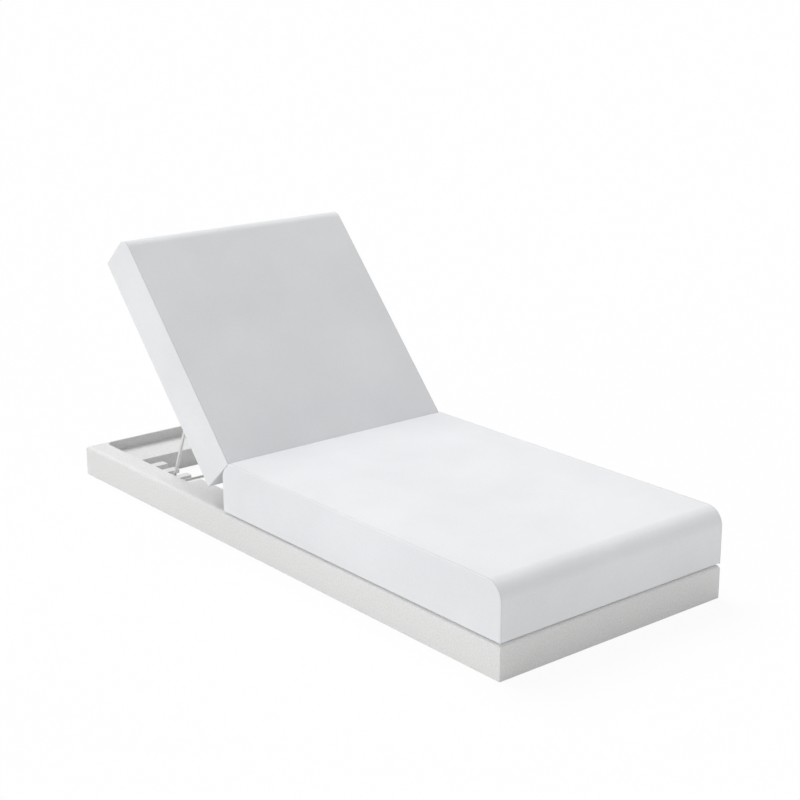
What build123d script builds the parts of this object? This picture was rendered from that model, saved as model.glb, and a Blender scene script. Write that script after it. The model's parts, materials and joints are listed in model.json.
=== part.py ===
"""Sun lounger: a moulded base, a hinged back panel on a steel bail, and two cushions. Millimetres, +Z up.

The origin is on the ground under the middle of the base. Y runs from the foot end to the head end.
The back is drawn raised, with the bail in the last notch of the comb.
"""
import math
import os

from build123d import *

os.makedirs("parts", exist_ok=True)

# Overall sizes
LENGTH = 2000.0
WIDTH = 800.0
BASE_TOP = 96.0
OVERRUN = 50.0
SOFT_CLEARANCE = 0.3
FIT_CLEARANCE = 0.05
LOOSE_CLEARANCE = 0.2

# Base
FOOT_RISE = 0.5
BASE_TOP_RADIUS = 12.0
BASE_CORNER_RADIUS = 1.5
BASE_WALL = 8.0
RIB = 6.0
SIDE_RAIL = 66.0
HEAD_RIM = 15.0
RECESS_FOOT_Y = 195.0
RECESS_CORNER_RADIUS = 25.0
LEDGE_DEPTH = 34.5
FLANGE_THICKNESS = 12.0
FLANGE_WIDTH = 98.0
COMB_RADIUS = 5.0
TROUGH_DEPTH = 46.0
TROUGH_SIDE = 34.0
WELL_FOOT_Y = 300.0
HEAD_LEDGE = 137.0
DECK_CELLS_ACROSS = 5
DECK_CELLS_ALONG = 7
RAIL_CELLS = 4
HEAD_CELLS = 4

# Comb, each notch as its distance from the foot side to the head side of the lounger
NOTCH_FOUR = (565.0, 618.0)
NOTCH_THREE = (648.0, 690.0)
NOTCH_TWO = (722.0, 762.0)
NOTCH_ONE_START = 793.0
LEG_SLOT_LENGTH = 27.0
LEG_SLOT_WIDTH = 18.0

# Small base pieces
FOOT_PAD_WIDTH = 6.0
FOOT_PAD_LENGTH = 60.0
FOOT_PAD_SEAT = 2.0
FOOT_PAD_PAIRS = 4
FOOT_PAD_EDGE = 100.0
SEAT_PAD_RADIUS = 20.0
SEAT_PAD_EDGE = 90.0
SEAT_PAD_ROWS = 3
BUMPER_RADIUS = 5.0
BUMPER_SEAT = 3.0
BUMPER_FOOT_INSET = 120.0
BUMPER_HEAD_INSET = 35.0

# Back panel, hinged on its middle plane
TILT = 47.8
HINGE_Y = 225.1
PANEL_THICKNESS = 33.0
PANEL_SIDE_GAP = 16.0
PANEL_END_GAP = 5.0
PANEL_FOOT_GAP = 14.0
PANEL_SKIN = 6.0
PANEL_WALL = 12.0
PANEL_CELLS_ACROSS = 4
BUSH_STRIP = 55.0
GRIP_STRIPS = 4
GRIP_WIDTH = 40.0
GRIP_START = 100.0
GRIP_END_INSET = 60.0
HINGE_STRIP = 66.0
PANEL_SINK = 0.5
HINGE_Z = BASE_TOP - PANEL_THICKNESS / 2 - PANEL_SINK

# Hinges
HINGE_INSET = 108.0
PIN_RADIUS = 4.0
EYE_RADIUS = 10.0
LEAF_THICKNESS = 4.0
LEAF_WIDTH = 70.0
LEAF_FOOT_INSET = 5.0
LEAF_HEAD_INSET = 8.0
LUG_THICKNESS = 8.0
LUG_SPACING = 28.0
EYE_LUG_THICKNESS = 18.0
LUG_STEM = 16.0
PIN_HEAD_RADIUS = 6.0
PIN_HEAD_HEIGHT = 2.0
PIN_END_GAP = 0.5
PANEL_LEAF_START = 16.0
SCREW_RADIUS = 2.5
SCREW_HEAD_RADIUS = 4.5
SCREW_HEAD_HEIGHT = 2.0
SCREW_LENGTH = 18.0
BASE_SCREW_X = 26.0
BASE_SCREW_EDGE = 10.0
PANEL_SCREW_X = 14.0
SCREW_PITCH = 22.0
PANEL_SCREW_START = 26.0

# Bail
ROD_RADIUS = 5.0
BAIL_PIVOT = 358.5
BAIL_LENGTH = 309.7
BAIL_LEAN = 66.8
BAIL_LEG_GAP = 2.0
BAIL_BEND = 16.0
TRUNNION_BEND = 6.0
BAIL_STOW_DROP = 9.5
BUSH_RADIUS = 9.0
BUSH_LENGTH = 22.0
TRUNNION_END_GAP = 3.0
GROOVE_WIDTH = 20.0
GROOVE_CLEARANCE = 2.5

# Cushions
COVER_THICKNESS = 2.0
SEAT_RISE = 4.0
SEAT_THICKNESS = 155.0
SEAT_REAR_Y = 188.5
SEAT_FOOT_RADIUS = 50.0
SEAT_REAR_RADIUS = 40.0
BEVEL_CLEARANCE = 1.0
BACK_START = 82.7
BACK_LENGTH = 789.0
BACK_THICKNESS = 147.3
BACK_LIFT = 2.7
BACK_TOP_RADIUS = 38.0
CUSHION_EDGE_RADIUS = 3.5
ZIP_LENGTH = 600.0
ZIP_WIDTH = 8.0
ZIP_RISE = 25.0

# Places that follow from the sizes
HALF_WIDTH = WIDTH / 2
HALF_LENGTH = LENGTH / 2
LEDGE_Z = BASE_TOP - LEDGE_DEPTH
TROUGH_Z = BASE_TOP - TROUGH_DEPTH
WELL_HALF = HALF_WIDTH - SIDE_RAIL
COMB_HALF = WELL_HALF - FLANGE_WIDTH
RECESS_HEAD_Y = HALF_LENGTH - HEAD_RIM
WELL_HEAD_Y = RECESS_HEAD_Y - HEAD_LEDGE
FLANGE_Z = LEDGE_Z - FLANGE_THICKNESS
FOOT_PAD_PITCH = (LENGTH - 2 * FOOT_PAD_EDGE) / (FOOT_PAD_PAIRS - 1)
BUMPER_PLACES_Y = (WELL_FOOT_Y + BUMPER_FOOT_INSET, RECESS_HEAD_Y - BUMPER_HEAD_INSET)
PANEL_HALF = WELL_HALF - PANEL_SIDE_GAP
HINGE_X = PANEL_HALF - HINGE_INSET
PANEL_END = RECESS_HEAD_Y - PANEL_END_GAP - HINGE_Y
PANEL_LEAF_LENGTH = WELL_FOOT_Y - LEAF_HEAD_INSET - HINGE_Y - PANEL_LEAF_START
PANEL_FACE = PANEL_THICKNESS / 2
ALONG = (0.0, math.cos(math.radians(TILT)), math.sin(math.radians(TILT)))
OUTWARD = (0.0, -ALONG[2], ALONG[1])
HINGE_POINT = (0.0, HINGE_Y, HINGE_Z)
SIDE_OF_BACK = Plane(origin=HINGE_POINT, x_dir=ALONG, z_dir=(1, 0, 0))
FACE_OF_BACK = Plane(origin=HINGE_POINT, x_dir=(1, 0, 0), z_dir=OUTWARD)
LEG_X = PANEL_HALF + BAIL_LEG_GAP + ROD_RADIUS
LEG_DIRECTION = (math.cos(math.radians(BAIL_LEAN)), -math.sin(math.radians(BAIL_LEAN)))
GROOVE_START = BAIL_PIVOT + math.sqrt(BAIL_LENGTH**2 - BAIL_STOW_DROP**2) - GROOVE_WIDTH / 2
GROOVE_DEPTH = PANEL_FACE - BAIL_STOW_DROP + ROD_RADIUS + GROOVE_CLEARANCE
SEAT_BOTTOM = BASE_TOP + SEAT_RISE
SEAT_TOP = SEAT_BOTTOM + SEAT_THICKNESS
BACK_REAR = PANEL_FACE + BACK_LIFT
BACK_FRONT = BACK_REAR + BACK_THICKNESS


def finish(piece, name):
    """Name a finished sub-part and write its file."""
    piece.part.label = name
    export_step(piece.part, "parts/" + name + ".step")


def cell(start, end, count, index):
    """Centre and width of one of a row of ribbed cells."""
    width = (end - start - RIB * (count - 1)) / count
    return start + width / 2 + index * (width + RIB), width


def bevel_y(height):
    """The plane of the raised back cushion's lower end, moved by its clearance, read at a height."""
    distance = BACK_START - BEVEL_CLEARANCE
    return HINGE_Y + (distance - (height - HINGE_Z) * ALONG[2]) / ALONG[1]


def bevel_z(place):
    """The same plane, read at a place along the lounger."""
    distance = BACK_START - BEVEL_CLEARANCE
    return HINGE_Z + (distance - (place - HINGE_Y) * ALONG[1]) / ALONG[2]


# Base shell
bottom_height = BASE_TOP - FOOT_RISE
with BuildPart() as base_shell:
    with BuildSketch(Plane.XY.offset(FOOT_RISE)):
        Rectangle(WIDTH, LENGTH)
    extrude(amount=bottom_height)
    fillet(base_shell.edges().filter_by(Axis.Z), radius=BASE_CORNER_RADIUS)
    fillet(base_shell.faces().sort_by(Axis.Z)[-1].edges(), radius=BASE_TOP_RADIUS)
    recess_length = RECESS_HEAD_Y - RECESS_FOOT_Y
    with BuildSketch(Plane.XY.offset(LEDGE_Z)) as recess:
        with Locations((0, RECESS_FOOT_Y + recess_length / 2)):
            Rectangle(2 * WELL_HALF, recess_length)
        fillet(recess.vertices(), radius=RECESS_CORNER_RADIUS)
    extrude(amount=OVERRUN, mode=Mode.SUBTRACT)
    trough_length = WELL_FOOT_Y - RECESS_FOOT_Y
    with BuildSketch(Plane.XY.offset(TROUGH_Z)):
        with Locations((0, RECESS_FOOT_Y + trough_length / 2)):
            Rectangle(2 * (WELL_HALF - TROUGH_SIDE), trough_length)
    extrude(amount=OVERRUN, mode=Mode.SUBTRACT)
    well_length = WELL_HEAD_Y - WELL_FOOT_Y
    with BuildSketch(Plane.XY):
        with Locations((0, WELL_FOOT_Y + well_length / 2)):
            Rectangle(2 * WELL_HALF, well_length)
    extrude(amount=FLANGE_Z, mode=Mode.SUBTRACT)
    with BuildSketch(Plane.XY.offset(-OVERRUN)) as comb:
        with Locations((0, WELL_FOOT_Y + well_length / 2)):
            Rectangle(2 * COMB_HALF, well_length)
        for start, end in (NOTCH_FOUR, NOTCH_THREE, NOTCH_TWO, (NOTCH_ONE_START, WELL_HEAD_Y)):
            with Locations((0, (start + end) / 2)):
                Rectangle(2 * WELL_HALF, end - start)
        for side in (-1, 1):
            with Locations((side * (WELL_HALF - LEG_SLOT_WIDTH / 2), NOTCH_FOUR[0] - LEG_SLOT_LENGTH / 2)):
                Rectangle(LEG_SLOT_WIDTH, LEG_SLOT_LENGTH)
        fillet(comb.vertices(), radius=COMB_RADIUS)
    extrude(amount=OVERRUN + BASE_TOP, mode=Mode.SUBTRACT)
    with BuildSketch(Plane.XY):
        for column in range(DECK_CELLS_ACROSS):
            x, across = cell(BASE_WALL - HALF_WIDTH, HALF_WIDTH - BASE_WALL, DECK_CELLS_ACROSS, column)
            for row in range(DECK_CELLS_ALONG):
                y, along = cell(BASE_WALL - HALF_LENGTH, RECESS_FOOT_Y - BASE_WALL, DECK_CELLS_ALONG, row)
                with Locations((x, y)):
                    Rectangle(across, along)
    extrude(amount=BASE_TOP - BASE_WALL, mode=Mode.SUBTRACT)
    with BuildSketch(Plane.XY):
        for row in range(RAIL_CELLS):
            y, along = cell(WELL_FOOT_Y, HALF_LENGTH - HEAD_RIM, RAIL_CELLS, row)
            for side in (-1, 1):
                with Locations((side * (WELL_HALF + SIDE_RAIL / 2), y)):
                    Rectangle(SIDE_RAIL - 2 * BASE_WALL, along)
    extrude(amount=BASE_TOP - BASE_WALL, mode=Mode.SUBTRACT)
    with BuildSketch(Plane.XY):
        for column in range(HEAD_CELLS):
            x, across = cell(-WELL_HALF, WELL_HALF, HEAD_CELLS, column)
            with Locations((x, RECESS_HEAD_Y - HEAD_LEDGE / 2)):
                Rectangle(across, HEAD_LEDGE - 2 * BASE_WALL)
    extrude(amount=LEDGE_Z - BASE_WALL, mode=Mode.SUBTRACT)
    with BuildSketch(Plane.XY.offset(FOOT_RISE)):
        with GridLocations(WIDTH - BASE_WALL, FOOT_PAD_PITCH, 2, FOOT_PAD_PAIRS):
            Rectangle(FOOT_PAD_WIDTH, FOOT_PAD_LENGTH)
    extrude(amount=FOOT_PAD_SEAT, mode=Mode.SUBTRACT)
    bumper_x = PANEL_HALF - PANEL_WALL / 2
    with BuildSketch(Plane.XY.offset(LEDGE_Z - BUMPER_SEAT)):
        with Locations(*[(s * bumper_x, y) for s in (-1, 1) for y in BUMPER_PLACES_Y]):
            Circle(BUMPER_RADIUS + FIT_CLEARANCE)
    extrude(amount=OVERRUN, mode=Mode.SUBTRACT)
    leaf_head_y = WELL_FOOT_Y - LEAF_HEAD_INSET
    with BuildSketch(Plane.XY.offset(TROUGH_Z)):
        for side in (-1, 1):
            for step in range(2):
                for offset_x in (-BASE_SCREW_X, BASE_SCREW_X):
                    screw_y = leaf_head_y - BASE_SCREW_EDGE - step * SCREW_PITCH
                    with Locations((side * HINGE_X + offset_x, screw_y)):
                        Circle(SCREW_RADIUS + FIT_CLEARANCE)
    extrude(amount=-SCREW_LENGTH, mode=Mode.SUBTRACT)
finish(base_shell, "base_shell")

# Rubber pads under the side walls
with BuildPart() as foot_pads:
    with BuildSketch(Plane.XY):
        with GridLocations(WIDTH - BASE_WALL, FOOT_PAD_PITCH, 2, FOOT_PAD_PAIRS):
            Rectangle(FOOT_PAD_WIDTH - 2 * FIT_CLEARANCE, FOOT_PAD_LENGTH - 2 * FIT_CLEARANCE)
    extrude(amount=FOOT_RISE + FOOT_PAD_SEAT)
finish(foot_pads, "foot_pads")

# Grip pads that carry the seat cushion above the deck
seat_span = SEAT_REAR_Y + HALF_LENGTH - 2 * SEAT_PAD_EDGE
with BuildPart() as seat_pads:
    with BuildSketch(Plane.XY.offset(BASE_TOP)):
        with Locations((0, (SEAT_REAR_Y - HALF_LENGTH) / 2)):
            with GridLocations(WIDTH - 2 * SEAT_PAD_EDGE, seat_span / (SEAT_PAD_ROWS - 1), 2, SEAT_PAD_ROWS):
                Circle(SEAT_PAD_RADIUS)
    extrude(amount=SEAT_RISE - SOFT_CLEARANCE)
finish(seat_pads, "seat_pads")

# Bumpers that the lowered panel lies on
with BuildPart() as panel_bumpers:
    with BuildSketch(Plane.XY.offset(LEDGE_Z - BUMPER_SEAT)):
        with Locations(*[(s * bumper_x, y) for s in (-1, 1) for y in BUMPER_PLACES_Y]):
            Circle(BUMPER_RADIUS)
    extrude(amount=HINGE_Z - PANEL_FACE - SOFT_CLEARANCE - LEDGE_Z + BUMPER_SEAT)
finish(panel_bumpers, "panel_bumpers")

# Seat cushion, with its rear top edge cut along the lower end of the raised back cushion
seat_points = [
    (-HALF_LENGTH, SEAT_BOTTOM),
    (SEAT_REAR_Y, SEAT_BOTTOM),
    (SEAT_REAR_Y, bevel_z(SEAT_REAR_Y)),
    (bevel_y(SEAT_TOP), SEAT_TOP),
    (-HALF_LENGTH, SEAT_TOP),
]
zip_slot_z = SEAT_BOTTOM + ZIP_RISE
with BuildPart() as seat_cushion_cover:
    with BuildSketch(Plane.YZ) as seat_side:
        with BuildLine():
            Polyline(*seat_points, close=True)
        make_face()
        foot_corner = seat_side.vertices().group_by(Axis.X)[0].sort_by(Axis.Y)[-1]
        fillet(foot_corner, radius=SEAT_FOOT_RADIUS)
        rear_corner = seat_side.vertices().group_by(Axis.X)[-1].sort_by(Axis.Y)[-1]
        fillet(rear_corner, radius=SEAT_REAR_RADIUS)
    extrude(amount=HALF_WIDTH, both=True)
    seat_ends = seat_cushion_cover.faces().sort_by(Axis.X)
    fillet(seat_ends[0].edges() + seat_ends[-1].edges(), radius=CUSHION_EDGE_RADIUS)
    with BuildSketch(Plane.YZ) as seat_hollow:
        add(seat_side.sketch_local)
        offset(amount=-COVER_THICKNESS, mode=Mode.REPLACE)
    extrude(amount=HALF_WIDTH - COVER_THICKNESS, both=True, mode=Mode.SUBTRACT)
    with BuildSketch(Plane.XZ.offset(-SEAT_REAR_Y)):
        with Locations((0, zip_slot_z)):
            Rectangle(ZIP_LENGTH, ZIP_WIDTH)
    extrude(amount=COVER_THICKNESS + SOFT_CLEARANCE, both=True, mode=Mode.SUBTRACT)
finish(seat_cushion_cover, "seat_cushion_cover")

foam_inset = COVER_THICKNESS + SOFT_CLEARANCE
with BuildPart() as seat_cushion_foam:
    with BuildSketch(Plane.YZ):
        add(seat_side.sketch_local)
        offset(amount=-foam_inset, mode=Mode.REPLACE)
    extrude(amount=HALF_WIDTH - CUSHION_EDGE_RADIUS, both=True)
finish(seat_cushion_foam, "seat_cushion_foam")

with BuildPart() as seat_cushion_zip:
    with BuildSketch(Plane.XZ.offset(-SEAT_REAR_Y)):
        with Locations((0, zip_slot_z)):
            Rectangle(ZIP_LENGTH - 2 * LOOSE_CLEARANCE, ZIP_WIDTH - 2 * LOOSE_CLEARANCE)
    extrude(amount=COVER_THICKNESS)
finish(seat_cushion_zip, "seat_cushion_zip")

# Back panel
panel_length = PANEL_END - PANEL_FOOT_GAP
with BuildPart() as back_panel:
    with BuildSketch(SIDE_OF_BACK):
        with Locations((PANEL_FOOT_GAP + panel_length / 2, 0)):
            Rectangle(panel_length, PANEL_THICKNESS)
    extrude(amount=PANEL_HALF, both=True)
    fillet(back_panel.edges().filter_by(Axis(HINGE_POINT, OUTWARD)), radius=RECESS_CORNER_RADIUS / 2)
    bands = (
        (PANEL_FOOT_GAP + HINGE_STRIP, BAIL_PIVOT - BUSH_STRIP / 2, 2),
        (BAIL_PIVOT + BUSH_STRIP / 2, GROOVE_START - BASE_WALL, 2),
        (GROOVE_START + GROOVE_WIDTH + BASE_WALL, PANEL_END - BASE_WALL, 1),
    )
    with BuildSketch(FACE_OF_BACK.offset(-PANEL_FACE)):
        for start, end, count in bands:
            for row in range(count):
                t, along = cell(start, end, count, row)
                for column in range(PANEL_CELLS_ACROSS):
                    x, across = cell(
                        PANEL_WALL - PANEL_HALF, PANEL_HALF - PANEL_WALL, PANEL_CELLS_ACROSS, column
                    )
                    with Locations((x, t)):
                        Rectangle(across, along)
    extrude(amount=PANEL_THICKNESS - PANEL_SKIN, mode=Mode.SUBTRACT)
    with BuildSketch(FACE_OF_BACK.offset(-PANEL_FACE)):
        with Locations((0, GROOVE_START + GROOVE_WIDTH / 2)):
            Rectangle(2 * WELL_HALF, GROOVE_WIDTH)
    extrude(amount=GROOVE_DEPTH, mode=Mode.SUBTRACT)
    with BuildSketch(FACE_OF_BACK.offset(-PANEL_FACE)):
        for side in (-1, 1):
            for step in range(2):
                for offset_x in (-PANEL_SCREW_X, PANEL_SCREW_X):
                    with Locations((side * HINGE_X + offset_x, PANEL_SCREW_START + step * SCREW_PITCH)):
                        Circle(SCREW_RADIUS + FIT_CLEARANCE)
    extrude(amount=SCREW_LENGTH, mode=Mode.SUBTRACT)
    for side in (-1, 1):
        with BuildSketch(SIDE_OF_BACK.offset(side * PANEL_HALF)):
            with Locations((BAIL_PIVOT, 0)):
                Circle(BUSH_RADIUS + FIT_CLEARANCE)
        extrude(amount=-side * BUSH_LENGTH, mode=Mode.SUBTRACT)
finish(back_panel, "back_panel")

# Grip strips on the panel's face, on which the back cushion slides
grip_length = PANEL_END - GRIP_END_INSET - GRIP_START
with BuildPart() as panel_grip_strips:
    with BuildSketch(FACE_OF_BACK.offset(PANEL_FACE)):
        with Locations((0, GRIP_START + grip_length / 2)):
            with GridLocations(2 * PANEL_HALF / GRIP_STRIPS, grip_length, GRIP_STRIPS, 1):
                Rectangle(GRIP_WIDTH, grip_length)
    extrude(amount=BACK_LIFT - SOFT_CLEARANCE)
finish(panel_grip_strips, "panel_grip_strips")

# Hinges, a plate and pin on the base and a leaf on the panel, at each side
leaf_foot_y = RECESS_FOOT_Y + LEAF_FOOT_INSET
leaf_length = leaf_head_y - leaf_foot_y
panel_leaf_n = -PANEL_FACE - LEAF_THICKNESS
for side, side_name in ((-1, "left"), (1, "right")):
    hinge_x = side * HINGE_X
    with BuildPart() as hinge_base_plate:
        with BuildSketch(Plane.XY.offset(TROUGH_Z)):
            with Locations((hinge_x, leaf_foot_y + leaf_length / 2)):
                Rectangle(LEAF_WIDTH, leaf_length)
            for step in range(2):
                for offset_x in (-BASE_SCREW_X, BASE_SCREW_X):
                    with Locations((hinge_x + offset_x, leaf_head_y - BASE_SCREW_EDGE - step * SCREW_PITCH)):
                        Circle(SCREW_RADIUS + LOOSE_CLEARANCE, mode=Mode.SUBTRACT)
        extrude(amount=LEAF_THICKNESS)
        for lug_side in (-1, 1):
            with BuildSketch(Plane.YZ.offset(hinge_x + lug_side * LUG_SPACING / 2)):
                with Locations((HINGE_Y, (TROUGH_Z + HINGE_Z) / 2)):
                    Rectangle(LUG_STEM, HINGE_Z - TROUGH_Z)
                with Locations((HINGE_Y, HINGE_Z)):
                    Circle(EYE_RADIUS)
                    Circle(PIN_RADIUS + FIT_CLEARANCE, mode=Mode.SUBTRACT)
            extrude(amount=LUG_THICKNESS / 2, both=True)
    finish(hinge_base_plate, "hinge_base_plate_" + side_name)

    with BuildPart() as hinge_pin:
        pin_half = LUG_SPACING / 2 + LUG_THICKNESS / 2 + PIN_END_GAP
        with BuildSketch(Plane.YZ.offset(hinge_x)):
            with Locations((HINGE_Y, HINGE_Z)):
                Circle(PIN_RADIUS)
        extrude(amount=pin_half, both=True)
        for end_side in (-1, 1):
            with BuildSketch(Plane.YZ.offset(hinge_x + end_side * pin_half)):
                with Locations((HINGE_Y, HINGE_Z)):
                    Circle(PIN_HEAD_RADIUS)
            extrude(amount=end_side * PIN_HEAD_HEIGHT)
    finish(hinge_pin, "hinge_pin_" + side_name)

    with BuildPart() as hinge_panel_leaf:
        with BuildSketch(FACE_OF_BACK.offset(panel_leaf_n)):
            with Locations((hinge_x, PANEL_LEAF_START + PANEL_LEAF_LENGTH / 2)):
                Rectangle(LEAF_WIDTH, PANEL_LEAF_LENGTH)
            for step in range(2):
                for offset_x in (-PANEL_SCREW_X, PANEL_SCREW_X):
                    with Locations((hinge_x + offset_x, PANEL_SCREW_START + step * SCREW_PITCH)):
                        Circle(SCREW_RADIUS + LOOSE_CLEARANCE, mode=Mode.SUBTRACT)
        extrude(amount=LEAF_THICKNESS)
        lug_back = PANEL_FOOT_GAP - SOFT_CLEARANCE
        with BuildSketch(SIDE_OF_BACK.offset(hinge_x)):
            with BuildLine():
                Polyline(
                    (0, -EYE_RADIUS),
                    (lug_back, panel_leaf_n),
                    (PANEL_LEAF_START, panel_leaf_n),
                    (PANEL_LEAF_START, -PANEL_FACE),
                    (lug_back, -PANEL_FACE),
                    (lug_back, 0),
                    (0, EYE_RADIUS),
                    close=True,
                )
            make_face()
            Circle(EYE_RADIUS)
            Circle(PIN_RADIUS + FIT_CLEARANCE, mode=Mode.SUBTRACT)
        extrude(amount=EYE_LUG_THICKNESS / 2, both=True)
    finish(hinge_panel_leaf, "hinge_panel_leaf_" + side_name)

    with BuildPart() as bail_bush:
        with BuildSketch(SIDE_OF_BACK.offset(side * PANEL_HALF)):
            with Locations((BAIL_PIVOT, 0)):
                Circle(BUSH_RADIUS)
                Circle(ROD_RADIUS + FIT_CLEARANCE, mode=Mode.SUBTRACT)
        extrude(amount=-side * (BUSH_LENGTH - LOOSE_CLEARANCE))
    finish(bail_bush, "bail_bush_" + side_name)

# Hinge screws
with BuildPart() as base_hinge_screws:
    places = [
        (side * HINGE_X + offset_x, leaf_head_y - BASE_SCREW_EDGE - step * SCREW_PITCH)
        for side in (-1, 1)
        for step in range(2)
        for offset_x in (-BASE_SCREW_X, BASE_SCREW_X)
    ]
    with BuildSketch(Plane.XY.offset(TROUGH_Z + LEAF_THICKNESS)):
        with Locations(*places):
            Circle(SCREW_HEAD_RADIUS)
    extrude(amount=SCREW_HEAD_HEIGHT)
    with BuildSketch(Plane.XY.offset(TROUGH_Z + LEAF_THICKNESS)):
        with Locations(*places):
            Circle(SCREW_RADIUS)
    extrude(amount=-SCREW_LENGTH)
finish(base_hinge_screws, "base_hinge_screws")

with BuildPart() as panel_hinge_screws:
    places = [
        (side * HINGE_X + offset_x, PANEL_SCREW_START + step * SCREW_PITCH)
        for side in (-1, 1)
        for step in range(2)
        for offset_x in (-PANEL_SCREW_X, PANEL_SCREW_X)
    ]
    with BuildSketch(FACE_OF_BACK.offset(panel_leaf_n)):
        with Locations(*places):
            Circle(SCREW_HEAD_RADIUS)
    extrude(amount=-SCREW_HEAD_HEIGHT)
    with BuildSketch(FACE_OF_BACK.offset(panel_leaf_n)):
        with Locations(*places):
            Circle(SCREW_RADIUS)
    extrude(amount=SCREW_LENGTH)
finish(panel_hinge_screws, "panel_hinge_screws")

# Bail, one bent rod: crossbar, two legs and two trunnions
pivot_y = HINGE_Y + BAIL_PIVOT * ALONG[1]
pivot_z = HINGE_Z + BAIL_PIVOT * ALONG[2]
cross_y = pivot_y + BAIL_LENGTH * LEG_DIRECTION[0]
cross_z = pivot_z + BAIL_LENGTH * LEG_DIRECTION[1]
trunnion_x = PANEL_HALF - BUSH_LENGTH + TRUNNION_END_GAP
bail_points = [
    (-trunnion_x, pivot_y, pivot_z),
    (-LEG_X, pivot_y, pivot_z),
    (-LEG_X, cross_y, cross_z),
    (LEG_X, cross_y, cross_z),
    (LEG_X, pivot_y, pivot_z),
    (trunnion_x, pivot_y, pivot_z),
]
with BuildPart() as support_bail:
    with BuildLine() as bail_line:
        FilletPolyline(*bail_points, radius=[TRUNNION_BEND, BAIL_BEND, BAIL_BEND, TRUNNION_BEND])
    with BuildSketch(Plane(origin=bail_points[0], z_dir=(-1, 0, 0))):
        Circle(ROD_RADIUS)
    sweep()
finish(support_bail, "support_bail")

# Back cushion
back_middle = BACK_START + BACK_LENGTH / 2
back_zip_n = BACK_REAR + ZIP_RISE
with BuildPart() as back_cushion_cover:
    with BuildSketch(SIDE_OF_BACK) as back_side:
        with Locations((back_middle, (BACK_REAR + BACK_FRONT) / 2)):
            Rectangle(BACK_LENGTH, BACK_THICKNESS)
        top_corner = back_side.vertices().group_by(Axis.X)[-1].sort_by(Axis.Y)[-1]
        fillet(top_corner, radius=BACK_TOP_RADIUS)
    extrude(amount=HALF_WIDTH, both=True)
    back_ends = back_cushion_cover.faces().sort_by(Axis.X)
    fillet(back_ends[0].edges() + back_ends[-1].edges(), radius=CUSHION_EDGE_RADIUS)
    with BuildSketch(SIDE_OF_BACK):
        add(back_side.sketch_local)
        offset(amount=-COVER_THICKNESS, mode=Mode.REPLACE)
    extrude(amount=HALF_WIDTH - COVER_THICKNESS, both=True, mode=Mode.SUBTRACT)
    with BuildSketch(SIDE_OF_BACK):
        with Locations((BACK_START, back_zip_n)):
            Rectangle(2 * (COVER_THICKNESS + SOFT_CLEARANCE), ZIP_WIDTH)
    extrude(amount=ZIP_LENGTH / 2, both=True, mode=Mode.SUBTRACT)
finish(back_cushion_cover, "back_cushion_cover")

with BuildPart() as back_cushion_foam:
    with BuildSketch(SIDE_OF_BACK):
        add(back_side.sketch_local)
        offset(amount=-foam_inset, mode=Mode.REPLACE)
    extrude(amount=HALF_WIDTH - CUSHION_EDGE_RADIUS, both=True)
finish(back_cushion_foam, "back_cushion_foam")

with BuildPart() as back_cushion_zip:
    with BuildSketch(SIDE_OF_BACK):
        with Locations((BACK_START + COVER_THICKNESS / 2, back_zip_n)):
            Rectangle(COVER_THICKNESS, ZIP_WIDTH - 2 * LOOSE_CLEARANCE)
    extrude(amount=ZIP_LENGTH / 2 - LOOSE_CLEARANCE, both=True)
finish(back_cushion_zip, "back_cushion_zip")
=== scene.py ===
"""Sun lounger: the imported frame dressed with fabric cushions, grained resin and polished steel. Metres."""
import json
import math

import bmesh
import bpy
from mathutils import Matrix, Vector, noise


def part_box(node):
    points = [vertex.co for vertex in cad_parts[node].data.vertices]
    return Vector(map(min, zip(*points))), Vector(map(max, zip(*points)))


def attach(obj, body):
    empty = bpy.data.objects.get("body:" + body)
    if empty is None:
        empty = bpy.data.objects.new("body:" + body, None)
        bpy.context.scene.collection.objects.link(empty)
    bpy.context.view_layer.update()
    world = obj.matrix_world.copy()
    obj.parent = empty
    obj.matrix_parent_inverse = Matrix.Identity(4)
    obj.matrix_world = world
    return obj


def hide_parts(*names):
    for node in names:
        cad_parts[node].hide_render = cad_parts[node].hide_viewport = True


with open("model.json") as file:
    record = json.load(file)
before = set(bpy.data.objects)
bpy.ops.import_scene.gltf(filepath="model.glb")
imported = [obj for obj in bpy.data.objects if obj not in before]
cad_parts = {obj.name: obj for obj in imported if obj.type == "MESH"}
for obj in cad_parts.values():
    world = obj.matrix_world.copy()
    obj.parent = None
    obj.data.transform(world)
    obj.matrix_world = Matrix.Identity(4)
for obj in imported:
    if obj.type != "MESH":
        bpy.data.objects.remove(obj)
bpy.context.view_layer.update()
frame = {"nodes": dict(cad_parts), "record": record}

# Camera
FOCAL_MM = 75.0
SENSOR_MM = 36.0
CAMERA_PLACE = (-2.8891, -3.6719, 1.7895)
YAW = math.radians(50.742)
PITCH = math.radians(16.518)
ROLL = math.radians(0.194)

# Light
WORLD_LEVEL = 0.54
WHITE_LEVEL = 1.0
LIGHT_SPREAD = math.radians(40)
LIGHTS = {
    "overhead": (Vector((0.0, 0.34, 0.50)), 1.79),
    "near_side": (Vector((-1.0, 0.0, 0.06)), 1.02),
    "foot_fill": (Vector((0.0, -1.0, 0.04)), 0.24),
}

# Floor, seen nearly white by the camera and pale by everything else
FLOOR_REACH = 40.0
FLOOR_TONE = 0.90
FLOOR_GLOW_SHARE = 0.92

# Back cushion at rest, from the hinge, along the panel and out of it
TILT = math.radians(47.8)
BACK_START = 0.0827
BACK_REAR = 0.0192
BACK_THICKNESS = 0.1473
BACK_LENGTH = 0.789
BACK_RADIUS = 0.038

# Seat cushion, its rear top edge cut parallel to the end of the back cushion
FOOT_RADIUS = 0.050
REAR_RADIUS = 0.040
BEVEL_CLEARANCE = 0.001

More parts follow.
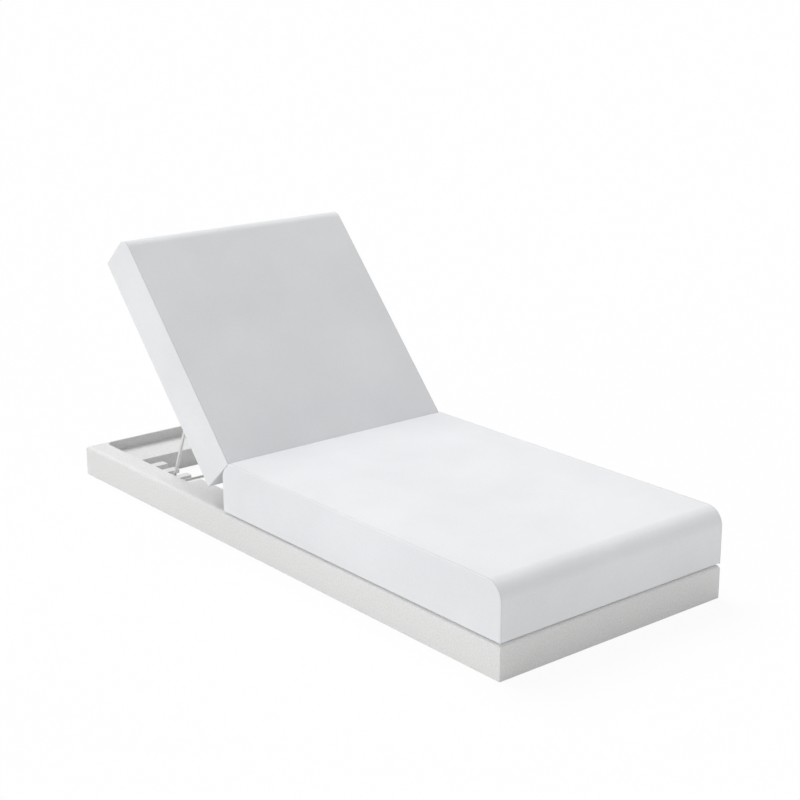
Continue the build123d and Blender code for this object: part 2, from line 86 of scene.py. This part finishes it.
# Cushion meshes
ARC_STEPS = 14
SHARP_ANGLE = math.radians(20)
EDGE_RADIUS = 0.0035
EDGE_SEGMENTS = 4
ROUND_PROFILE = 0.5
GRID_STEP = 0.022

# Swell of a cushion's faces: how far, and the power with which each fades towards the face's edge
TOP_CROWN = 0.0035
TOP_FADE = 4
SIDE_CROWN = 0.0015
SIDE_FADE = 8
ROUND_FADE = 2
END_INSET = 0.0008
RIPPLE = 0.0007
RIPPLE_FADE = 6
RIPPLE_SIZE = 0.11

# A face looks in a direction where its normal has more than this share along it
FACING = 0.5

# Seam along each side of a cushion
WELT_RADIUS = 0.0011
WELT_ROUNDNESS = 3
WELT_INSET = 0.0028
WELT_SINK = 0.35

# Scratches in steel, next to its plain surface
SCRATCH_TONE = 0.9
SCRATCH_ROUGHENING = 0.1


def add_object(name, data):
    """A new object in the scene."""
    made = bpy.data.objects.new(name, data)
    bpy.context.scene.collection.objects.link(made)
    return made


def grey(level):
    return (level, level, level)


def new_material(name):
    """A material, its node tree with a coordinate node, and its shader."""
    material = bpy.data.materials.new(name)
    material.use_nodes = True
    tree = material.node_tree
    tree.nodes.new("ShaderNodeTexCoord")
    return material, tree, tree.nodes["Principled BSDF"]


def set_inputs(node, values):
    """Sets a node's inputs by name."""
    for input_name, value in values.items():
        node.inputs[input_name].default_value = value


def texture_node(tree, kind, values):
    """A texture laid in the object's own coordinates."""
    node = tree.nodes.new(kind)
    set_inputs(node, values)
    tree.links.new(tree.nodes["Texture Coordinate"].outputs["Object"], node.inputs["Vector"])
    return node


def noise_node(tree, scale, detail):
    """A noise's value."""
    return texture_node(tree, "ShaderNodeTexNoise", {"Scale": scale, "Detail": detail}).outputs["Fac"]


def math_node(tree, operation, first, second, clamp=False):
    """A sum or product of two outputs, or of an output and a number."""
    node = tree.nodes.new("ShaderNodeMath")
    node.operation = operation
    node.use_clamp = clamp
    for socket, value in zip(node.inputs, (first, second)):
        if isinstance(value, bpy.types.NodeSocket):
            tree.links.new(value, socket)
        else:
            socket.default_value = value
    return node.outputs[0]


def ramp_node(tree, source, low, high, start=0.35, end=0.65):
    """A colour that goes from low to high with the source."""
    node = tree.nodes.new("ShaderNodeValToRGB")
    for element, position, color in zip(node.color_ramp.elements, (start, end), (low, high)):
        element.position = position
        element.color = (*color, 1.0)
    tree.links.new(source, node.inputs["Fac"])
    return node.outputs["Color"]


def vary_roughness(tree, shader, source, low, high):
    """Lets a texture vary the shader's roughness between two levels."""
    node = tree.nodes.new("ShaderNodeMapRange")
    set_inputs(node, {"To Min": low, "To Max": high})
    tree.links.new(source, node.inputs["Value"])
    tree.links.new(node.outputs["Result"], shader.inputs["Roughness"])


def bump_node(tree, height, strength, distance, under=None):
    """A bump's normal, laid over another one if there is one under it."""
    node = tree.nodes.new("ShaderNodeBump")
    set_inputs(node, {"Strength": strength, "Distance": distance})
    tree.links.new(height, node.inputs["Height"])
    if under is not None:
        tree.links.new(under, node.inputs["Normal"])
    return node.outputs["Normal"]


def fabric(name, low, high, thread):
    """Plain woven outdoor cloth: two sets of threads, slubs and a faint unevenness of colour."""
    material, tree, shader = new_material(name)
    set_inputs(shader, {
        "Roughness": 0.88,
        "Specular IOR Level": 0.25,
        "Sheen Weight": 0.12,
        "Sheen Roughness": 0.5,
    })
    waves = []
    for direction in ("X", "Y", "Z"):
        wave = texture_node(tree, "ShaderNodeTexWave", {
            "Scale": thread,
            "Distortion": 0.6,
            "Detail": 1.0,
            "Detail Scale": 2.0,
        })
        wave.wave_type = "BANDS"
        wave.bands_direction = direction
        waves.append(wave.outputs["Fac"])
    crossed = math_node(tree, "MULTIPLY", waves[0], waves[1])
    weave = math_node(tree, "ADD", crossed, waves[2])
    slub = noise_node(tree, scale=420.0, detail=3.0)
    cloud = noise_node(tree, scale=3.5, detail=4.0)
    tone = ramp_node(tree, cloud, low, high)
    fine = ramp_node(tree, slub, grey(0.95), grey(1.0))
    mix = tree.nodes.new("ShaderNodeMix")
    mix.data_type = "RGBA"
    mix.blend_type = "MULTIPLY"
    mix.inputs["Factor"].default_value = 1.0
    tree.links.new(tone, mix.inputs["A"])
    tree.links.new(fine, mix.inputs["B"])
    tree.links.new(mix.outputs["Result"], shader.inputs["Base Color"])
    threads = bump_node(tree, weave, strength=0.25, distance=0.0004)
    surface = bump_node(tree, slub, strength=0.25, distance=0.0005, under=threads)
    tree.links.new(surface, shader.inputs["Normal"])
    return material


def resin(name, low, high):
    """Moulded resin with a fine cast grain."""
    material, tree, shader = new_material(name)
    shader.inputs["Specular IOR Level"].default_value = 0.35
    grain = noise_node(tree, scale=190.0, detail=4.0)
    pits = texture_node(tree, "ShaderNodeTexVoronoi", {"Scale": 150.0}).outputs["Distance"]
    tone = ramp_node(tree, grain, low, high, start=0.3, end=0.7)
    tree.links.new(tone, shader.inputs["Base Color"])
    vary_roughness(tree, shader, grain, low=0.55, high=0.75)
    grained = bump_node(tree, grain, strength=0.8, distance=0.0022)
    surface = bump_node(tree, pits, strength=0.35, distance=0.0012, under=grained)
    tree.links.new(surface, shader.inputs["Normal"])
    return material


def steel(name, level, roughness):
    """Stainless steel with fine drawn scratches."""
    material, tree, shader = new_material(name)
    shader.inputs["Metallic"].default_value = 1.0
    scratch = noise_node(tree, scale=900.0, detail=2.0)
    tone = ramp_node(tree, scratch, grey(SCRATCH_TONE * level), grey(level))
    tree.links.new(tone, shader.inputs["Base Color"])
    vary_roughness(tree, shader, scratch, low=roughness, high=roughness + SCRATCH_ROUGHENING)
    surface = bump_node(tree, scratch, strength=0.1, distance=0.0001)
    tree.links.new(surface, shader.inputs["Normal"])
    return material


def plain_polymer(name, low, high, roughness):
    """Rubber, nylon or zip tape with a slight moulded texture."""
    material, tree, shader = new_material(name)
    shader.inputs["Roughness"].default_value = roughness
    grain = noise_node(tree, scale=500.0, detail=3.0)
    tone = ramp_node(tree, grain, low, high)
    tree.links.new(tone, shader.inputs["Base Color"])
    surface = bump_node(tree, grain, strength=0.3, distance=0.0004)
    tree.links.new(surface, shader.inputs["Normal"])
    return material


CLOTH = fabric("outdoor_cloth", (0.80, 0.81, 0.83), (0.84, 0.85, 0.87), thread=260.0)
# The seam welt is the same cloth as the cushions; its darker tone is painted shade along the seam line.
SHADED_WELT_CLOTH = fabric("welt_cloth_painted_shade", (0.66, 0.67, 0.69), (0.72, 0.73, 0.75), thread=500.0)
BASE_RESIN = resin("base_resin_grain", (0.70, 0.70, 0.695), (0.80, 0.80, 0.795))
# The back panel is the base's resin; this darker copy is painted shade for the panel lying in the recess
# under the back cushion.
SHADED_PANEL_RESIN = resin("panel_resin_painted_shade", (0.66, 0.66, 0.655), (0.74, 0.74, 0.735))
BAIL_STEEL = steel("polished_stainless", level=0.78, roughness=0.12)
HINGE_STEEL = steel("satin_stainless", level=0.62, roughness=0.30)
RUBBER = plain_polymer("black_rubber", grey(0.02), grey(0.04), roughness=0.75)
NYLON = plain_polymer("white_nylon", (0.72, 0.72, 0.70), (0.78, 0.78, 0.76), roughness=0.45)
ZIP = plain_polymer("zip_tape", grey(0.60), grey(0.72), roughness=0.7)

# Nodes not named here are the hinges and screws, of satin steel, and the soft solids, which are replaced
FINISH = {
    "base_shell": BASE_RESIN,
    "back_panel": SHADED_PANEL_RESIN,
    "support_bail": BAIL_STEEL,
    "foot_pads": RUBBER,
    "seat_pads": RUBBER,
    "panel_bumpers": RUBBER,
    "panel_grip_strips": RUBBER,
    "bail_bush_left": NYLON,
    "bail_bush_right": NYLON,
    "seat_cushion_zip": ZIP,
    "back_cushion_zip": ZIP,
}
for node_name, node_object in frame["nodes"].items():
    finish = FINISH.get(node_name, HINGE_STEEL)
    for material_slot in node_object.material_slots:
        material_slot.link = "OBJECT"
        material_slot.material = finish


def arc(centre, radius, start, end):
    """Points of an arc, angles in degrees."""
    points = []
    for step in range(ARC_STEPS + 1):
        angle = math.radians(start + (end - start) * step / ARC_STEPS)
        points.append((centre[0] + radius * math.cos(angle), centre[1] + radius * math.sin(angle)))
    return points


def span(outline, direction):
    """The outline's lowest and highest value in one of its two directions."""
    values = [point[direction] for point in outline]
    return min(values), max(values)


def swept_box(outline, half):
    """A closed mesh: the side outline swept across from -half to half, with its sharp edges rounded."""
    bm = bmesh.new()
    rings = [[bm.verts.new((x, a, b)) for a, b in outline] for x in (-half, half)]
    count = len(outline)
    for i in range(count):
        j = (i + 1) % count
        bm.faces.new((rings[0][i], rings[0][j], rings[1][j], rings[1][i]))
    bm.faces.new(list(reversed(rings[0])))
    bm.faces.new(rings[1])
    bmesh.ops.recalc_face_normals(bm, faces=bm.faces)
    sharp = [edge for edge in bm.edges if edge.calc_face_angle() > SHARP_ANGLE]
    bmesh.ops.bevel(
        bm, geom=sharp, offset=EDGE_RADIUS, segments=EDGE_SEGMENTS, profile=ROUND_PROFILE, affect="EDGES",
    )
    return bm


def cut_grid(bm, spans):
    """Cuts the mesh at even steps in each direction, so that its faces can swell."""
    for axis, (low, high) in enumerate(spans):
        steps = int((high - low) / GRID_STEP)
        normal = Vector()
        normal[axis] = 1.0
        for step in range(1, steps):
            spot = Vector()
            spot[axis] = low + (high - low) * step / steps
            geometry = bm.verts[:] + bm.edges[:] + bm.faces[:]
            bmesh.ops.bisect_plane(bm, geom=geometry, plane_co=spot, plane_no=normal)


def fade(share, power):
    """1 in a face's middle and 0 at its edge, where share is 1. A high power stays level for longer."""
    return 1 - share**power


def swell_at(vertex, spans, inset_end):
    """How far a vertex moves out along its normal. The face towards inset_end is pressed in instead."""
    shares = []
    for value, (low, high) in zip(vertex.co, spans):
        shares.append(min(1.0, abs(value - (low + high) / 2) / ((high - low) / 2)))
    x_share, y_share, z_share = shares
    normal = vertex.normal
    if normal.y * inset_end > FACING:
        return -END_INSET * fade(x_share, SIDE_FADE) * fade(z_share, TOP_FADE)
    swell = TOP_CROWN * max(0.0, normal.z) * fade(x_share, TOP_FADE) * fade(y_share, TOP_FADE)
    swell += SIDE_CROWN * abs(normal.x) * fade(y_share, SIDE_FADE) * fade(z_share, ROUND_FADE)
    swell += SIDE_CROWN * abs(normal.y) * fade(x_share, SIDE_FADE) * fade(z_share, ROUND_FADE)
    if normal.z < -FACING:
        return swell
    if normal.z > FACING:
        level = fade(x_share, RIPPLE_FADE) * fade(y_share, RIPPLE_FADE)
    else:
        level = fade(z_share, ROUND_FADE) * fade(x_share * y_share, RIPPLE_FADE)
    return swell + RIPPLE * level * noise.noise(vertex.co / RIPPLE_SIZE)


def cushion(name, outline, half, place, body, nodes, inset_end):
    """A box cushion with its seams: swept from its side outline, swollen, and set in its place."""
    bm = swept_box(outline, half)
    spans = ((-half, half), span(outline, 0), span(outline, 1))
    cut_grid(bm, spans)
    bm.normal_update()
    for vertex in bm.verts:
        vertex.co = place(vertex.co + vertex.normal * swell_at(vertex, spans, inset_end))
    bmesh.ops.recalc_face_normals(bm, faces=bm.faces)
    mesh = bpy.data.meshes.new(name)
    bm.to_mesh(mesh)
    bm.free()
    mesh.shade_smooth()
    mesh.materials.append(CLOTH)
    piece = add_object(name, mesh)
    weighted = piece.modifiers.new("even_shading", "WEIGHTED_NORMAL")
    weighted.keep_sharp = False
    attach(piece, body)
    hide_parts(*nodes)
    for side, ending in ((-1, "_seam_left"), (1, "_seam_right")):
        welt(name + ending, outline, side, half, place, body)


def sink(value, middle):
    """Moves one value of the outline in towards its middle, as deep as the seam lies in the cover."""
    inward = math.copysign(min(WELT_RADIUS, abs(value - middle)), value - middle)
    return value - inward * WELT_SINK


def welt(name, outline, side, half, place, body):
    """The sewn seam that joins a side panel to the long panel round the cushion."""
    curve = bpy.data.curves.new(name, "CURVE")
    curve.dimensions = "3D"
    curve.bevel_depth = WELT_RADIUS
    curve.bevel_resolution = WELT_ROUNDNESS
    # The welt's cloth is darker than the cushion's: painted shade in the seam.
    curve.materials.append(SHADED_WELT_CLOTH)
    middle_a = sum(span(outline, 0)) / 2
    middle_b = sum(span(outline, 1)) / 2
    x = side * (half - WELT_INSET)
    spline = curve.splines.new("POLY")
    spline.points.add(len(outline) - 1)
    for point, (a, b) in zip(spline.points, outline):
        point.co = (*place(Vector((x, sink(a, middle_a), sink(b, middle_b)))), 1.0)
    spline.use_cyclic_u = True
    piece = add_object(name, curve)
    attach(piece, body)


# Places shared by the cushions
seat_low, seat_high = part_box("seat_cushion_cover")
half_width = seat_high[0]
hinge = next(j for j in frame["record"]["behaviour"]["joints"] if j["name"] == "backrest_tilt")["pos_m"]
origin = Vector(hinge)
along = Vector((0.0, math.cos(TILT), math.sin(TILT)))
outward = Vector((0.0, -math.sin(TILT), math.cos(TILT)))

# Seat cushion, its outline in Y and Z
cut = BACK_START - BEVEL_CLEARANCE
bevel_height = hinge[2] + (cut - (seat_high[1] - hinge[1]) * along.y) / along.z
bevel_place = hinge[1] + (cut - (seat_high[2] - hinge[2]) * along.z) / along.y
bevel_turn = math.atan2(seat_high[1] - bevel_place, seat_high[2] - bevel_height)
rear_setback = REAR_RADIUS * math.tan(bevel_turn / 2)
rear_centre = (seat_high[1] - REAR_RADIUS, bevel_height - rear_setback)
foot_centre = (seat_low[1] + FOOT_RADIUS, seat_high[2] - FOOT_RADIUS)
seat_outline = [(seat_low[1], seat_low[2]), (seat_high[1], seat_low[2])]
seat_outline += arc(rear_centre, REAR_RADIUS, 0, math.degrees(bevel_turn))
seat_outline += [(bevel_place, seat_high[2])]
seat_outline += arc(foot_centre, FOOT_RADIUS, 90, 180)
cushion(
    "seat_cushion", seat_outline, half_width, Vector, "base",
    ("seat_cushion_cover", "seat_cushion_foam"), inset_end=1,
)


def on_panel(spot):
    """A place from its distances across the panel, along it from the hinge, and out of it."""
    return origin + Vector((spot[0], 0.0, 0.0)) + along * spot[1] + outward * spot[2]


# Back cushion, its outline along the panel and out of it
back_end = BACK_START + BACK_LENGTH
back_front = BACK_REAR + BACK_THICKNESS
back_outline = [(BACK_START, BACK_REAR), (back_end, BACK_REAR)]
back_outline += arc((back_end - BACK_RADIUS, back_front - BACK_RADIUS), BACK_RADIUS, 0, 90)
back_outline += [(BACK_START, back_front)]
cushion(
    "back_cushion", back_outline, half_width, on_panel, "back_cushion",
    ("back_cushion_cover", "back_cushion_foam"), inset_end=-1,
)


def grey_node(tree, kind, level, strength=None):
    """A shader node of one grey."""
    node = tree.nodes.new(kind)
    node.inputs["Color"].default_value = (*grey(level), 1.0)
    if strength is not None:
        node.inputs["Strength"].default_value = strength
    return node.outputs[0]


def mix_to_output(tree, output_kind, share, first, second):
    """Sends a mix of two shaders to a new output, the second one by its share."""
    mixed = tree.nodes.new("ShaderNodeMixShader")
    output = tree.nodes.new(output_kind)
    for socket, value in zip(mixed.inputs, (share, first, second)):
        tree.links.new(value, socket)
    tree.links.new(mixed.outputs[0], output.inputs["Surface"])


# Floor
floor_mesh = bpy.data.meshes.new("floor")
floor_corners = [(x * FLOOR_REACH, y * FLOOR_REACH, 0) for x, y in ((-1, -1), (1, -1), (1, 1), (-1, 1))]
floor_mesh.from_pydata(floor_corners, [], [(0, 1, 2, 3)])
floor = add_object("floor", floor_mesh)
floor_material = bpy.data.materials.new("pale_floor")
floor_material.use_nodes = True
tree = floor_material.node_tree
tree.nodes.clear()
rays = tree.nodes.new("ShaderNodeLightPath")
share = math_node(tree, "MULTIPLY", rays.outputs["Is Camera Ray"], FLOOR_GLOW_SHARE)
diffuse = grey_node(tree, "ShaderNodeBsdfDiffuse", FLOOR_TONE)
glow = grey_node(tree, "ShaderNodeEmission", WHITE_LEVEL)
mix_to_output(tree, "ShaderNodeOutputMaterial", share, diffuse, glow)
floor_mesh.materials.append(floor_material)

# World, white to the camera and in metal, and softer as a light
world = bpy.data.worlds.new("studio")
bpy.context.scene.world = world
world.use_nodes = True
tree = world.node_tree
tree.nodes.clear()
rays = tree.nodes.new("ShaderNodeLightPath")
seen = math_node(tree, "ADD", rays.outputs["Is Camera Ray"], rays.outputs["Is Glossy Ray"], clamp=True)
seen = math_node(tree, "ADD", seen, rays.outputs["Is Transmission Ray"], clamp=True)
soft = grey_node(tree, "ShaderNodeBackground", WHITE_LEVEL, strength=WORLD_LEVEL)
white = grey_node(tree, "ShaderNodeBackground", WHITE_LEVEL, strength=WHITE_LEVEL)
mix_to_output(tree, "ShaderNodeOutputWorld", seen, soft, white)

# Lights
for light_name, (way, energy) in LIGHTS.items():
    lamp = bpy.data.lights.new(light_name, "SUN")
    lamp.energy = energy
    lamp.angle = LIGHT_SPREAD
    lamp_object = add_object(light_name, lamp)
    lamp_object.rotation_mode = "QUATERNION"
    lamp_object.rotation_quaternion = way.to_track_quat("Z", "Y")

# Camera
forward = Vector((math.cos(YAW) * math.cos(PITCH), math.sin(YAW) * math.cos(PITCH), -math.sin(PITCH)))
right = Vector((math.sin(YAW), -math.cos(YAW), 0.0))
down = forward.cross(right)
rolled_right = math.cos(ROLL) * right + math.sin(ROLL) * down
rolled_down = math.cos(ROLL) * down - math.sin(ROLL) * right
camera_data = bpy.data.cameras.new("camera")
camera_data.lens = FOCAL_MM
camera_data.sensor_width = SENSOR_MM
camera = add_object("camera", camera_data)
turn = Matrix((rolled_right, -rolled_down, -forward)).transposed().to_4x4()
camera.matrix_world = Matrix.Translation(CAMERA_PLACE) @ turn
bpy.context.scene.camera = camera
bpy.context.scene.view_settings.view_transform = "Standard"
